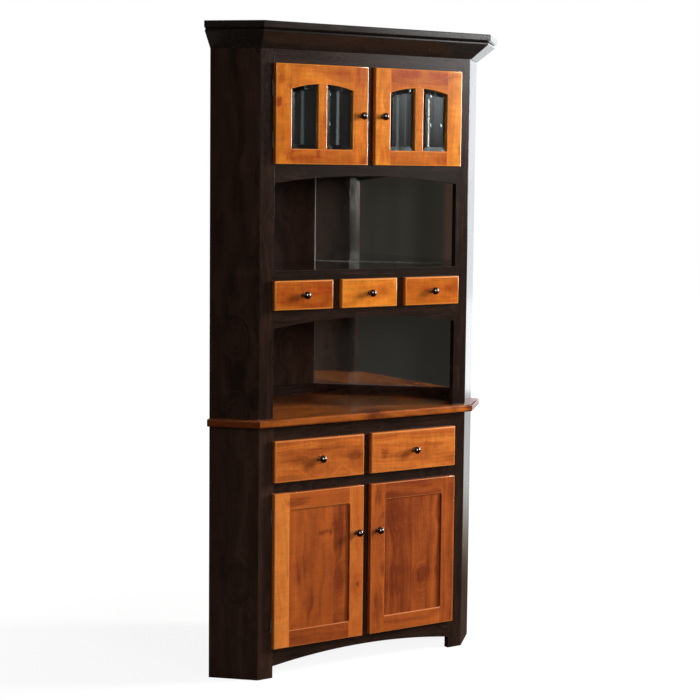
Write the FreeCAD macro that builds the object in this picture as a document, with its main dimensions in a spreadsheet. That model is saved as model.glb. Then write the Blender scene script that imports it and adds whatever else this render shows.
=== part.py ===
import FreeCAD, Part
import Sketcher
import math
import os
from types import SimpleNamespace

# Corner hutch: a glazed hutch over a base cabinet, made to stand in the corner of a room.
# All lengths are in millimetres. X runs to the right along the front, Y runs back into
# the corner and Z runs up. Places in Y are counted from the front face of the face frames
# and then moved by face_line, so that the origin lies on the floor below the middle.

doc = FreeCAD.newDocument("corner_hutch")

# Driving sizes, kept in the sheet
sizes = {
    # Plan of the corner
    "front_width": 816,
    "return_width": 162,
    "corner_clip_width": 241,
    # Board thicknesses
    "frame_thickness": 19,
    "side_thickness": 19,
    "back_thickness": 6,
    "shelf_thickness": 18,
    # Heights of the base, from the floor up
    "foot_height": 38,
    "foot_arch_rise": 26,
    "base_sill_height": 103,
    "base_door_opening": 492.6,
    "base_middle_rail": 46.9,
    "base_drawer_opening": 122.9,
    "base_top_rail": 52.6,
    "counter_thickness": 24,
    # Heights of the hutch, from the counter up
    "lower_display_height": 287,
    "lower_arch_rise": 26.5,
    "drawer_rail_height": 64,
    "small_drawer_opening": 82,
    "deck_rail_height": 37,
    "upper_display_height": 275.5,
    "upper_arch_rise": 24.5,
    "display_rail_height": 65.5,
    "hutch_door_opening": 301,
    "hutch_top_rail": 109,
    "cap_thickness": 20,
    # Widths in the face frames
    "base_stile_width": 56,
    "hutch_stile_width": 52,
    "centre_mullion_width": 41,
    "small_mullion_width": 44.5,
    "middle_drawer_opening": 206,
    # Counter
    "counter_overhang": 27.5,
    "counter_edge_radius": 6,
    # Crown
    "cap_projection": 70,
    "cap_lap": 40,
    "crown_foot": 3,
    "crown_projection": 62,
    "crown_slope_height": 46.5,
    "crown_lip": 7,
    "crown_groove_depth": 7,
    "crown_height": 59,
    # Door and drawer fronts
    "front_overlay": 6,
    "front_gap": 1.4,
    "front_thickness": 16,
    "drawer_front_radius": 5,
    # Glass doors
    "glass_door_stile": 59,
    "glass_door_bottom_rail": 48.5,
    "glass_door_top_rail": 78,
    "glass_arch_rise": 17,
    "glass_bar_width": 33,
    "glass_thickness": 4,
    "glass_setback": 5,
    # Panel doors
    "panel_door_stile": 57,
    "panel_door_rail": 56,
    "panel_thickness": 7,
    "panel_setback": 6,
    # Drawer boxes
    "box_depth": 250,
    "box_wall": 12,
    "box_bottom": 6,
    "box_bottom_rise": 8,
    "box_side_clearance": 1.5,
    "box_top_clearance": 10,
    "running_gap": 0.3,
    "guide_width": 12,
    "guide_height": 20,
    "guide_length": 215,
    "guide_clearance": 0.5,
    # Shelf and mirrors
    "base_shelf_rise": 225,
    "base_shelf_setback": 40,
    "cleat_height": 35,
    "cleat_thickness": 10,
    "mirror_thickness": 4,
    "mirror_gap": 3,
    # Hinges
    "hinge_height": 50,
    "hinge_end_distance": 75,
    "hinge_knuckle_radius": 3,
    "hinge_pin_radius": 1.2,
    "hinge_pin_clearance": 0.05,
    "hinge_knuckle_gap": 0.4,
    "hinge_leaf": 1,
    "hinge_edge_gap": 0.5,
    "hinge_door_leaf_width": 20,
    "hinge_wrap_depth": 14,
    # Knobs
    "knob_radius": 12.5,
    "knob_reach": 16.6,
    "knob_foot_radius": 8,
    "knob_foot_height": 1.5,
    "knob_neck_radius": 5,
    "knob_inset": 27,
    "base_knob_drop": 154.6,
    # How far a cutting shape runs past what it cuts
    "overrun": 5,
}

sheet = doc.addObject("Spreadsheet::Sheet", "Sizes")
for row, (alias, amount) in enumerate(sizes.items(), start=1):
    sheet.set(f"A{row}", alias)
    sheet.set(f"B{row}", str(amount))
    sheet.setAlias(f"B{row}", alias)
doc.recompute()


class Size:
    """A length: its value in millimetres and the formula that gives it from the sheet."""

    def __init__(self, value, formula):
        self.value = value
        self.formula = formula

    def __add__(self, other):
        other = as_size(other)
        return Size(self.value + other.value, f"({self.formula} + {other.formula})")

    def __sub__(self, other):
        other = as_size(other)
        return Size(self.value - other.value, f"({self.formula} - {other.formula})")

    def __mul__(self, other):
        other = as_size(other)
        return Size(self.value * other.value, f"({self.formula} * {other.formula})")

    def __truediv__(self, other):
        other = as_size(other)
        return Size(self.value / other.value, f"({self.formula} / {other.formula})")

    def __neg__(self):
        return Size(-self.value, f"(-1 * {self.formula})")


def as_size(amount):
    """A plain number, such as zero or a share, in the form of a Size."""
    if isinstance(amount, Size):
        return amount
    return Size(float(amount), str(amount))


def root(amount):
    """The square root of a Size or a plain number."""
    amount = as_size(amount)
    return Size(math.sqrt(amount.value), f"sqrt({amount.formula})")


at = SimpleNamespace(**{alias: Size(float(v), f"Sizes.{alias}") for alias, v in sizes.items()})
nothing = as_size(0)
root_two = root(2)

# Main lines of the plan
half_front = at.front_width / 2
half_clip = at.corner_clip_width / 2
corner_depth = half_front + at.return_width * root_two
back_line = corner_depth - half_clip
face_line = (at.cap_projection - back_line) / 2

# Main levels
sill_level = at.base_sill_height
door_head_level = sill_level + at.base_door_opening
base_drawer_level = door_head_level + at.base_middle_rail
base_drawer_head = base_drawer_level + at.base_drawer_opening
base_top_level = base_drawer_head + at.base_top_rail
counter_level = base_top_level + at.counter_thickness
lower_spring = counter_level + at.lower_display_height
small_drawer_level = lower_spring + at.drawer_rail_height
small_drawer_head = small_drawer_level + at.small_drawer_opening
deck_level = small_drawer_head + at.deck_rail_height
upper_spring = deck_level + at.upper_display_height
cabinet_level = upper_spring + at.display_rail_height
cabinet_head = cabinet_level + at.hutch_door_opening
cap_level = cabinet_head + at.hutch_top_rail
crown_level = cap_level - at.crown_height

# Edges of the openings in the face frames
base_opening_edge = half_front - at.base_stile_width
hutch_opening_edge = half_front - at.hutch_stile_width
centre_edge = at.centre_mullion_width / 2
small_inner_edge = at.middle_drawer_opening / 2
small_outer_edge = small_inner_edge + at.small_mullion_width

# Planes of the door and drawer fronts
front_back_face = -at.front_gap
front_face = front_back_face - at.front_thickness


# Points of the plan, all for the right half

def front_corner(front, side):
    """Where the line at depth front meets the return's line, side inside its outer face."""
    return (half_front - side * root_two + front, front)


def wall_corner(side, back):
    """The return's wall end, side inside its outer face and back in front of the wall."""
    x = (half_front + corner_depth) / 2 - (side + back) / root_two
    y = (corner_depth - half_front) / 2 + (side - back) / root_two
    return (x, y)


def clip_corner(back):
    """Where the wall's line meets the clipped corner's line, both back in front of them."""
    return (half_clip - (root_two - 1) * back, back_line - back)


def beside_clip(near, back):
    """A point back in front of the wall, near along the wall from the clipped corner."""
    x, y = clip_corner(at.back_thickness)
    inward = back - at.back_thickness
    return (x + (near - inward) / root_two, y - (near + inward) / root_two)


def mirrored(corners):
    """The same outline for the left half."""
    return [(-x, y) for x, y in reversed(corners)]


def board_plan(front, side, back):
    """The whole six-sided outline of a board that fills the plan."""
    right = [front_corner(front, side), wall_corner(side, back), clip_corner(back)]
    return right + mirrored(right)


# Makers of shapes

def set_place(thing, x, y, z):
    """Put a thing at x, y, z, with y counted from the face of the frames."""
    thing.setExpression("Placement.Base.x", as_size(x).formula)
    thing.setExpression("Placement.Base.y", (face_line + y).formula)
    thing.setExpression("Placement.Base.z", as_size(z).formula)


def block(name, x_span, y_span, z_span):
    """A square-cut board between two places along each direction."""
    thing = doc.addObject("Part::Box", name)
    for side, (low, high) in (("Length", x_span), ("Width", y_span), ("Height", z_span)):
        thing.setExpression(side, (as_size(high) - low).formula)
    set_place(thing, x_span[0], y_span[0], z_span[0])
    return thing


def rod(name, x, y, z_span, radius):
    """An upright round bar."""
    thing = doc.addObject("Part::Cylinder", name)
    thing.setExpression("Radius", radius.formula)
    thing.setExpression("Height", (z_span[1] - z_span[0]).formula)
    set_place(thing, x, y, z_span[0])
    return thing


def fused(name, members):
    """Several shapes joined into one solid."""
    thing = doc.addObject("Part::MultiFuse", name)
    thing.Shapes = members
    return thing


def cut_away(name, base, tools):
    """A base with tools cut out of it, one after another."""
    for number, tool in enumerate(tools, start=1):
        last = number == len(tools)
        thing = doc.addObject("Part::Cut", name if last else f"{name}_step_{number}")
        thing.Base = base
        thing.Tool = tool
        base = thing
    return base


def group(name, members):
    """Like pieces kept in one node, each still a solid of its own."""
    thing = doc.addObject("Part::Compound", name)
    thing.Links = members
    return thing


def bind_point(sketch, edge, end, corner):
    """Hold one end of an edge at a corner worked out from the sheet."""
    for kind, amount in (("DistanceX", corner[0]), ("DistanceY", corner[1])):
        amount = as_size(amount)
        held = Sketcher.Constraint(kind, -1, 1, edge, end, amount.value)
        index = sketch.addConstraint(held)
        sketch.setExpression(f"Constraints[{index}]", amount.formula)


def draw_outline(sketch, corners, arcs):
    """A closed outline: straight edges, or arcs given as edge number to (centre, radius)."""
    points = [FreeCAD.Vector(as_size(u).value, as_size(v).value, 0) for u, v in corners]
    ends = []
    for number, start in enumerate(points):
        finish = points[(number + 1) % len(points)]
        if number in arcs:
            centre, radius = arcs[number]
            middle = FreeCAD.Vector(as_size(centre[0]).value, as_size(centre[1]).value, 0)
            circle = Part.Circle(middle, FreeCAD.Vector(0, 0, 1), radius.value)
            first = circle.parameter(start)
            last = circle.parameter(finish)
            forward = (last - first) % (2 * math.pi) < math.pi
            if not forward:
                first, last = last, first
            if last < first:
                last = last + 2 * math.pi
            edge = sketch.addGeometry(Part.ArcOfCircle(circle, first, last))
            ends.append((edge, 1, 2) if forward else (edge, 2, 1))
            index = sketch.addConstraint(Sketcher.Constraint("Radius", edge, radius.value))
            sketch.setExpression(f"Constraints[{index}]", radius.formula)
        else:
            edge = sketch.addGeometry(Part.LineSegment(start, finish))
            ends.append((edge, 1, 2))
    for number, (edge, start_end, finish_end) in enumerate(ends):
        following, next_start, _ = ends[(number + 1) % len(ends)]
        sketch.addConstraint(
            Sketcher.Constraint("Coincident", edge, finish_end, following, next_start))
        bind_point(sketch, edge, start_end, corners[number])


def body_sketch(body, name, plane, corners, arcs):
    """A sketch on one of the body's own origin planes."""
    sketch = body.newObject("Sketcher::SketchObject", name)
    origin_plane = next(part for part in body.Origin.OriginFeatures if part.Role == plane)
    sketch.AttachmentSupport = [(origin_plane, "")]
    sketch.MapMode = "FlatFace"
    draw_outline(sketch, corners, arcs)
    return sketch


def padded(name, plane, corners, thickness, place, arcs=None):
    """A body whose outline is drawn on a plane and padded by its thickness."""
    body = doc.addObject("PartDesign::Body", name)
    sketch = body_sketch(body, f"{name}_outline", plane, corners, arcs or {})
    pad = body.newObject("PartDesign::Pad", f"{name}_pad")
    pad.Profile = sketch
    pad.setExpression("Length", thickness.formula)
    pad.Reversed = plane == "XZ_Plane"
    sketch.Visibility = False
    set_place(body, *place)
    return body, pad


def plan_board(name, corners, low, high):
    """A board of any plan outline, from one level to another."""
    return padded(name, "XY_Plane", corners, as_size(high) - low, (0, nothing, low))[0]


def upright_board(name, corners, front, back, arcs=None):
    """A board drawn as seen from the front, from one depth to another."""
    return padded(name, "XZ_Plane", corners, as_size(back) - front, (0, as_size(front), 0), arcs)[0]


def side_span(hand, near, far):
    """A span in X on the right, with hand 1, or on the left, with hand -1."""
    if hand > 0:
        return (near, far)
    return (-as_size(far), -as_size(near))


def arch_radius(half_span, rise):
    """The radius of an arch from half its span and its rise."""
    return (half_span * half_span + rise * rise) / (rise * 2)


# Sides, backs and boards of the carcass

def side_board(name, hand, low, high):
    """The return, square to the wall, mitred to the face frame's stile."""
    t = at.side_thickness
    corners = [front_corner(nothing, nothing), wall_corner(nothing, nothing),
               wall_corner(t, nothing), front_corner(at.frame_thickness, t)]
    return plan_board(name, corners if hand > 0 else mirrored(corners), low, high)


def back_panels(name, low, high):
    """Thin backs along both walls and across the clipped corner, mitred where they meet."""
    t = at.back_thickness
    wall = [wall_corner(at.side_thickness, nothing), clip_corner(nothing),
            clip_corner(t), wall_corner(at.side_thickness, t)]
    across = [clip_corner(t), clip_corner(nothing)]
    return group(name, [
        plan_board(f"{name}_right", wall, low, high),
        plan_board(f"{name}_left", mirrored(wall), low, high),
        plan_board(f"{name}_corner", across + mirrored(across), low, high),
    ])


def inner_board(name, top, setback=nothing):
    """A shelf, floor or deck that fills the inside of the carcass."""
    outline = board_plan(at.frame_thickness + setback, at.side_thickness, at.back_thickness)
    return plan_board(name, outline, top - at.shelf_thickness, top)


# Face frames

def stiles(name, opening_edge, low, high):
    """The two outer uprights of a face frame, mitred to the returns."""
    t = at.frame_thickness
    right = [(opening_edge, nothing), front_corner(nothing, nothing),
             front_corner(t, at.side_thickness), (opening_edge, t)]
    return group(name, [
        plan_board(f"{name}_left", mirrored(right), low, high),
        plan_board(f"{name}_right", right, low, high),
    ])


def frame_block(name, x_span, z_span):
    """A straight member of a face frame."""
    return block(name, x_span, (nothing, at.frame_thickness), z_span)


def arched_rail(name, half_span, spring, rise, top):
    """A rail between the stiles whose lower edge is one shallow arch."""
    radius = arch_radius(half_span, rise)
    corners = [(-half_span, spring), (half_span, spring), (half_span, top), (-half_span, top)]
    centre = (nothing, spring + rise - radius)
    return upright_board(name, corners, nothing, at.frame_thickness, {0: (centre, radius)})


def base_frame():
    """Stiles with feet, rails and mullions of the base."""
    edge = base_opening_edge
    across = (-edge, edge)
    middle = (-centre_edge, centre_edge)
    return [
        stiles("base_stiles", edge, nothing, base_top_level),
        group("base_rails", [
            frame_block("base_top_rail_board", across, (base_drawer_head, base_top_level)),
            frame_block("base_middle_rail_board", across, (door_head_level, base_drawer_level)),
        ]),
        arched_rail("base_arched_rail", edge, at.foot_height, at.foot_arch_rise, sill_level),
        group("base_mullions", [
            frame_block("base_door_mullion", middle, (sill_level, door_head_level)),
            frame_block("base_drawer_mullion", middle, (base_drawer_level, base_drawer_head)),
        ]),
    ]


def hutch_frame():
    """Stiles, straight and arched rails and mullions of the hutch."""
    edge = hutch_opening_edge
    across = (-edge, edge)
    drawer_heights = (small_drawer_level, small_drawer_head)
    return [
        stiles("hutch_stiles", edge, counter_level, cap_level),
        group("hutch_rails", [
            frame_block("hutch_top_rail_board", across, (cabinet_head, cap_level)),
            frame_block("hutch_deck_rail_board", across, (small_drawer_head, deck_level)),
        ]),
        arched_rail("hutch_display_rail", edge, upper_spring, at.upper_arch_rise, cabinet_level),
        arched_rail("hutch_drawer_rail", edge, lower_spring, at.lower_arch_rise,
                    small_drawer_level),
        group("hutch_mullions", [
            frame_block("hutch_door_mullion", (-centre_edge, centre_edge),
                        (cabinet_level, cabinet_head)),
            frame_block("hutch_left_drawer_mullion", (-small_outer_edge, -small_inner_edge),
                        drawer_heights),
            frame_block("hutch_right_drawer_mullion", (small_inner_edge, small_outer_edge),
                        drawer_heights),
        ]),
    ]


def counter():
    """The counter, a thick board with rounded front and return edges."""
    outline = board_plan(-at.counter_overhang, -at.counter_overhang, nothing)
    body, pad = padded("counter_top", "XY_Plane", outline, at.counter_thickness,
                       (0, nothing, base_top_level))
    doc.recompute()
    wall_start = wall_corner(nothing, nothing)[1].value
    chosen = []
    for number, edge in enumerate(pad.Shape.Edges, start=1):
        first, last = edge.Vertexes
        if first.Point.z == last.Point.z and edge.CenterOfMass.y < wall_start:
            chosen.append(f"Edge{number}")
    rounding = body.newObject("PartDesign::Fillet", "counter_rounding")
    rounding.Base = (pad, chosen)
    rounding.setExpression("Radius", at.counter_edge_radius.formula)
    return body


# Mirrors and the cleats below them

def display_mirrors():
    """Four plate mirrors on the backs, one on each wall of each display space."""
    near = at.mirror_gap
    front = at.back_thickness + at.mirror_thickness
    side = at.side_thickness + near
    right = [wall_corner(side, at.back_thickness), beside_clip(near, at.back_thickness),
             beside_clip(near, front), wall_corner(side, front)]
    heights = {
        "lower": (counter_level + at.cleat_height, small_drawer_level - at.shelf_thickness),
        "upper": (deck_level, cabinet_level - at.shelf_thickness),
    }
    members = []
    for place, (low, high) in heights.items():
        members.append(plan_board(f"{place}_right_mirror", right, low, high))
        members.append(plan_board(f"{place}_left_mirror", mirrored(right), low, high))
    return group("display_mirrors", members)


def mirror_cleats():
    """Low strips along the backs, on the counter, that the lower mirrors stand on."""
    back = at.back_thickness
    front = back + at.cleat_thickness
    wall = [wall_corner(at.side_thickness, back), clip_corner(back),
            clip_corner(front), wall_corner(at.side_thickness, front)]
    across = [clip_corner(front), clip_corner(back)]
    low, high = counter_level, counter_level + at.cleat_height
    return group("mirror_cleats", [
        plan_board("right_cleat", wall, low, high),
        plan_board("left_cleat", mirrored(wall), low, high),
        plan_board("corner_cleat", across + mirrored(across), low, high),
    ])


# Crown: a sloping moulding mitred round three sides, under a flat cap

def crown_profile(name, corner, outward, stretch):
    """The moulding's section at one end, drawn out by the mitre's stretch."""
    lip_top = at.crown_slope_height + at.crown_lip
    groove = at.crown_projection - at.crown_groove_depth
    reach_and_height = [
        (nothing, nothing),
        (at.crown_foot, nothing),
        (at.crown_projection, at.crown_slope_height),
        (at.crown_projection, lip_top),
        (groove, lip_top),
        (groove, at.crown_height),
        (nothing, at.crown_height),
    ]
    sketch = doc.addObject("Sketcher::SketchObject", name)
    draw_outline(sketch, [(reach * stretch, rise) for reach, rise in reach_and_height], {})
    up = FreeCAD.Vector(0, 0, 1)
    turn = FreeCAD.Rotation(outward, up, outward.cross(up), "ZXY")
    sketch.Placement = FreeCAD.Placement(FreeCAD.Vector(0, 0, 0), turn)
    set_place(sketch, corner[0], corner[1], crown_level)
    return sketch


def crown_mouldings():
    """Three lengths of moulding between four end sections."""
    mitre = 1 / math.cos(math.pi / 8)
    turned_in = math.tan(math.pi / 8)
    corner = front_corner(nothing, nothing)
    end = wall_corner(nothing, nothing)
    sections = {
        "left_end": ((-end[0], end[1]), FreeCAD.Vector(-1, -1, 0), 1),
        "left_mitre": ((-corner[0], corner[1]), FreeCAD.Vector(-turned_in, -1, 0), mitre),
        "right_mitre": (corner, FreeCAD.Vector(turned_in, -1, 0), mitre),
        "right_end": (end, FreeCAD.Vector(1, -1, 0), 1),
    }
    profiles = {}
    for name, (place, outward, stretch) in sections.items():
        profiles[name] = crown_profile(f"crown_{name}", place, outward.normalize(), stretch)
    members = []
    for name, first, second in (("left", "left_end", "left_mitre"),
                                ("front", "left_mitre", "right_mitre"),
                                ("right", "right_mitre", "right_end")):
        loft = doc.addObject("Part::Loft", f"crown_{name}_moulding")
        loft.Sections = [profiles[first], profiles[second]]
        loft.Solid = True
        loft.Ruled = True
        members.append(loft)
    return group("crown_mouldings", members)


def crown_caps():
    """Three flat strips, mitred, that lie on the carcass and stand out over the moulding."""
    out = -at.cap_projection
    lap = at.cap_lap
    front = [front_corner(out, out), front_corner(lap, lap)]
    side = [front_corner(out, out), wall_corner(out, nothing),
            wall_corner(lap, nothing), front_corner(lap, lap)]
    low, high = cap_level, cap_level + at.cap_thickness
    return group("crown_caps", [
        plan_board("left_cap", mirrored(side), low, high),
        plan_board("front_cap", front + mirrored(front), low, high),
        plan_board("right_cap", side, low, high),
    ])


# Hinges: a wrapped leaf on the frame, a let-in leaf on the door, and a pin

def hinge_levels(low, high):
    """The spans of the two hinges of a door that stands between two levels."""
    half = at.hinge_height / 2
    middles = (low + at.hinge_end_distance, high - at.hinge_end_distance)
    return [(middle - half, middle + half) for middle in middles]


def knuckle_spans(low, high):
    """Lower frame knuckle, door knuckle and upper frame knuckle of one hinge."""
    knuckle = (at.hinge_height - at.hinge_knuckle_gap * 2) / 3
    gap = at.hinge_knuckle_gap
    return [(low, low + knuckle),
            (low + knuckle + gap, high - knuckle - gap),
            (high - knuckle, high)]


def hinge_axis(door_edge):
    """The pin's place beside a door's outer edge, on the right."""
    x = door_edge + at.hinge_edge_gap + at.hinge_knuckle_radius
    y = -(at.hinge_knuckle_radius + at.hinge_edge_gap)
    return x, y


def frame_leaf(name, hand, opening_edge, span):
    """The leaf that wraps the stile's edge, with two knuckles and the pin."""
    door_edge = opening_edge + at.front_overlay
    x, y = hinge_axis(door_edge)
    inner = opening_edge - at.hinge_leaf
    lower, _, upper = knuckle_spans(*span)
    members = [
        block(f"{name}_plate", side_span(hand, inner, door_edge), (-at.hinge_leaf, nothing), span),
        block(f"{name}_wrap", side_span(hand, inner, opening_edge),
              (-at.hinge_leaf, at.hinge_wrap_depth), span),
        rod(f"{name}_pin", x * hand, y, span, at.hinge_pin_radius),
    ]
    for place, knuckle in (("lower", lower), ("upper", upper)):
        members.append(block(f"{name}_{place}_tab", side_span(hand, inner, x),
                             (-at.hinge_leaf, nothing), knuckle))
        members.append(rod(f"{name}_{place}_knuckle", x * hand, y, knuckle,
                           at.hinge_knuckle_radius))
    return fused(name, members)


def door_leaf(name, hand, door_edge, span):
    """The leaf let into the door's back, with the middle knuckle round the pin."""
    x, y = hinge_axis(door_edge)
    knuckle = knuckle_spans(*span)[1]
    depth = (front_back_face - at.hinge_leaf, front_back_face)
    inner = door_edge - at.hinge_door_leaf_width
    whole = fused(f"{name}_blank", [
        block(f"{name}_plate", side_span(hand, inner, door_edge), depth, span),
        block(f"{name}_tab", side_span(hand, inner, x), depth, knuckle),
        rod(f"{name}_knuckle", x * hand, y, knuckle, at.hinge_knuckle_radius),
    ])
    long_span = (span[0] - at.overrun, span[1] + at.overrun)
    bore = rod(f"{name}_bore", x * hand, y, long_span,
               at.hinge_pin_radius + at.hinge_pin_clearance)
    return cut_away(name, whole, [bore])


def hinge_stile(name, hand, door_edge, width, span, hinges):
    """The door's outer stile, with shallow seats for the hinge leaves in its back."""
    depth = (front_face, front_back_face)
    seat_depth = (front_back_face - at.hinge_leaf, front_back_face + at.overrun)
    inner = door_edge - at.hinge_door_leaf_width
    seats = [block(f"{name}_seat_{number}", side_span(hand, inner, door_edge + at.overrun),
                   seat_depth, hinge)
             for number, hinge in enumerate(hinges, start=1)]
    blank = block(f"{name}_blank", side_span(hand, door_edge - width, door_edge), depth, span)
    return cut_away(name, blank, seats)


def door_hinges(name, hand, door_edge, hinges):
    """Both door leaves of one door."""
    leaves = [door_leaf(f"{name}_{number}", hand, door_edge, hinge)
              for number, hinge in enumerate(hinges, start=1)]
    return group(name, leaves)


# Knobs

def knob(name, x, z):
    """A turned ball knob on a short tapered neck, standing on a front."""
    ball = at.knob_radius
    reach = at.knob_reach
    neck = at.knob_neck_radius
    meeting = reach - root(ball * ball - neck * neck)
    corners = [(nothing, nothing), (nothing, -(reach + ball)), (neck, -meeting),
               (at.knob_foot_radius, -at.knob_foot_height), (at.knob_foot_radius, nothing)]
    body = doc.addObject("PartDesign::Body", name)
    sketch = body.newObject("Sketcher::SketchObject", f"{name}_profile")
    plane = next(part for part in body.Origin.OriginFeatures if part.Role == "XY_Plane")
    sketch.AttachmentSupport = [(plane, "")]
    sketch.MapMode = "FlatFace"
    draw_knob(sketch, corners, reach, ball)
    turned = body.newObject("PartDesign::Revolution", f"{name}_turning")
    turned.Profile = sketch
    turned.ReferenceAxis = (sketch, ["V_Axis"])
    turned.Angle = 360
    sketch.Visibility = False
    set_place(body, x, front_face, z)
    return body


def draw_knob(sketch, corners, reach, ball):
    """The knob's half section: axis, ball, neck and foot."""
    axis_foot, tip, neck_top, foot_top, foot = corners
    points = [FreeCAD.Vector(u.value, v.value, 0) for u, v in corners]
    centre = FreeCAD.Vector(0, -reach.value, 0)
    circle = Part.Circle(centre, FreeCAD.Vector(0, 0, 1), ball.value)
    turn = 2 * math.pi
    first = circle.parameter(points[1])
    last = circle.parameter(points[2])
    arc = sketch.addGeometry(Part.ArcOfCircle(circle, first, last if last > first else last + turn))
    radius = sketch.addConstraint(Sketcher.Constraint("Radius", arc, ball.value))
    sketch.setExpression(f"Constraints[{radius}]", ball.formula)
    lines = [sketch.addGeometry(Part.LineSegment(points[a], points[b]))
             for a, b in ((2, 3), (3, 4), (4, 0), (0, 1))]
    chain = [arc] + lines
    for number, edge in enumerate(chain):
        following = chain[(number + 1) % len(chain)]
        sketch.addConstraint(Sketcher.Constraint("Coincident", edge, 2, following, 1))
    for edge, corner in zip(chain, (tip, neck_top, foot_top, foot, axis_foot)):
        bind_point(sketch, edge, 1, corner)


# Doors

def door_members(name, hand, inner, outer, low, high, stile):
    """The two stiles of a door and the spans that its other pieces share."""
    depth = (front_face, front_back_face)
    hinges = hinge_levels(low, high)
    members = [
        hinge_stile(f"{name}_hinge_stile", hand, outer, stile, (low, high), hinges),
        block(f"{name}_lock_stile", side_span(hand, inner, inner + stile), depth, (low, high)),
    ]
    between = side_span(hand, inner + stile, outer - stile)
    return members, between, depth, hinges


def glass_door(name, hand):
    """A hutch door: stiles, arched top rail, bottom rail and bar round two glass panes."""
    inner = centre_edge - at.front_overlay
    outer = hutch_opening_edge + at.front_overlay
    low = cabinet_level - at.front_overlay
    high = cabinet_head + at.front_overlay
    members, between, depth, hinges = door_members(
        name, hand, inner, outer, low, high, at.glass_door_stile)
    left, right = between
    middle = (left + right) / 2
    half_span = (right - left) / 2
    radius = arch_radius(half_span, at.glass_arch_rise)
    centre = (middle, high - at.glass_door_top_rail + at.glass_arch_rise - radius)
    rail_top = low + at.glass_door_bottom_rail

    def arch_level(offset):
        return centre[1] + root(radius * radius - offset * offset)

    spring = high - at.glass_door_top_rail
    half_bar = at.glass_bar_width / 2
    members.append(block(f"{name}_bottom_rail", between, depth, (low, rail_top)))
    members.append(upright_board(
        f"{name}_top_rail", [(left, spring), (right, spring), (right, high), (left, high)],
        *depth, {0: (centre, radius)}))
    members.append(upright_board(
        f"{name}_bar",
        [(middle - half_bar, rail_top), (middle + half_bar, rail_top),
         (middle + half_bar, arch_level(half_bar)), (middle - half_bar, arch_level(half_bar))],
        *depth, {2: (centre, radius)}))

    glass_front = front_face + at.glass_setback
    panes = []
    for place, start, end, start_top, end_top in (
            ("left", left, middle - half_bar, spring, arch_level(half_bar)),
            ("right", middle + half_bar, right, arch_level(half_bar), spring)):
        panes.append(upright_board(
            f"{name}_{place}_pane",
            [(start, rail_top), (end, rail_top), (end, end_top), (start, start_top)],
            glass_front, glass_front + at.glass_thickness, {2: (centre, radius)}))
    return [
        group(f"{name}_frame", members),
        group(f"{name}_glass", panes),
        knob(f"{name}_knob", (inner + at.knob_inset) * hand, (low + high) / 2),
        door_hinges(f"{name}_hinges", hand, outer, hinges),
    ]


def panel_door(name, hand):
    """A base door: stiles and rails round one flat recessed panel."""
    inner = centre_edge - at.front_overlay
    outer = base_opening_edge + at.front_overlay
    low = sill_level - at.front_overlay
    high = door_head_level + at.front_overlay
    members, between, depth, hinges = door_members(
        name, hand, inner, outer, low, high, at.panel_door_stile)
    lower = low + at.panel_door_rail
    upper = high - at.panel_door_rail
    members.append(block(f"{name}_bottom_rail", between, depth, (low, lower)))
    members.append(block(f"{name}_top_rail", between, depth, (upper, high)))
    panel_front = front_face + at.panel_setback
    panel_depth = (panel_front, panel_front + at.panel_thickness)
    return [
        group(f"{name}_frame", members),
        block(f"{name}_panel", between, panel_depth, (lower, upper)),
        knob(f"{name}_knob", (inner + at.knob_inset) * hand, high - at.base_knob_drop),
        door_hinges(f"{name}_hinges", hand, outer, hinges),
    ]


def hinge_frame_leaves():
    """The fixed leaves of all eight hinges."""
    leaves = []
    for door, opening_edge, low, high in (
            ("upper", hutch_opening_edge, cabinet_level, cabinet_head),
            ("base", base_opening_edge, sill_level, door_head_level)):
        spans = hinge_levels(low - at.front_overlay, high + at.front_overlay)
        for hand, place in ((-1, "left"), (1, "right")):
            for number, span in enumerate(spans, start=1):
                leaves.append(frame_leaf(f"{door}_{place}_leaf_{number}", hand,
                                         opening_edge, span))
    return group("hinge_frame_leaves", leaves)


# Drawers

def drawer_front(name, x_span, z_span):
    """A solid front whose face edges are rounded over."""
    (left, right), (low, high) = x_span, z_span
    corners = [(left, low), (right, low), (right, high), (left, high)]
    body, pad = padded(name, "XZ_Plane", corners, at.front_thickness, (0, front_face, 0))
    doc.recompute()
    faces = pad.Shape.Faces
    foremost = min(range(len(faces)), key=lambda number: faces[number].CenterOfMass.y)
    rounding = body.newObject("PartDesign::Fillet", f"{name}_rounding")
    rounding.Base = (pad, [f"Face{foremost + 1}"])
    rounding.setExpression("Radius", at.drawer_front_radius.formula)
    return body


def drawer_box(name, x_span, z_span):
    """Four walls and a bottom, each a board, behind a drawer front."""
    left = x_span[0] + at.box_side_clearance
    right = x_span[1] - at.box_side_clearance
    low = z_span[0] + at.running_gap
    high = z_span[1] - at.box_top_clearance
    start = front_back_face
    end = start + at.box_depth
    wall = at.box_wall
    inner = (left + wall, right - wall)
    floor = low + at.box_bottom_rise
    return group(name, [
        block(f"{name}_left_wall", (left, left + wall), (start, end), (low, high)),
        block(f"{name}_right_wall", (right - wall, right), (start, end), (low, high)),
        block(f"{name}_front_wall", inner, (start, start + wall), (low, high)),
        block(f"{name}_back_wall", inner, (end - wall, end), (low, high)),
        block(f"{name}_floor", inner, (start + wall, end - wall), (floor, floor + at.box_bottom)),
    ])


def drawer(name, x_span, z_span):
    """Front, box and knob of the drawer that closes one opening."""
    lap = at.front_overlay
    front_span = (x_span[0] - lap, x_span[1] + lap)
    front_heights = (z_span[0] - lap, z_span[1] + lap)
    return [
        drawer_front(f"{name}_front", front_span, front_heights),
        drawer_box(f"{name}_box", x_span, z_span),
        knob(f"{name}_knob", (x_span[0] + x_span[1]) / 2, (z_span[0] + z_span[1]) / 2),
    ]


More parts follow.
